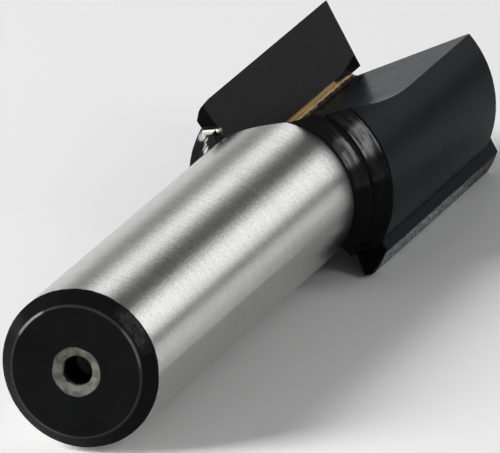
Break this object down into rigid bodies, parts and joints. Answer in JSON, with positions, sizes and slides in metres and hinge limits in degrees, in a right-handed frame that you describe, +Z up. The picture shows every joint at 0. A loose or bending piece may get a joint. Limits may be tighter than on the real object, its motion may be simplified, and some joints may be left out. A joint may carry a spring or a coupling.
{
  "type": "grooving router bit",
  "caption": "Straight grooving router bit: round ground shank with a chamfered end, black neck and winged head, and brazed cutting tips beside open gullets.",
  "frame": {"origin": "on the bit's axis, in the plane of the shank's end face", "axes": "+Y along the bit's axis from the shank's end to the cutting end; +Z up as the bit lies on its side; +X across"},
  "size_m": [0.017, 0.0812, 0.0136],
  "materials": {
    "body_steel": "ground bright shank; chamfer, end face, neck and head in gloss black oxide",
    "carbide": "dark grey, fine ground",
    "braze": "dull golden solder, slightly tarnished"
  },
  "bodies": {
    "root": {"body": "body_steel", "tip_1": "carbide", "tip_2": "carbide", "braze_1": "braze", "braze_2": "braze"}
  },
  "joints": []
}
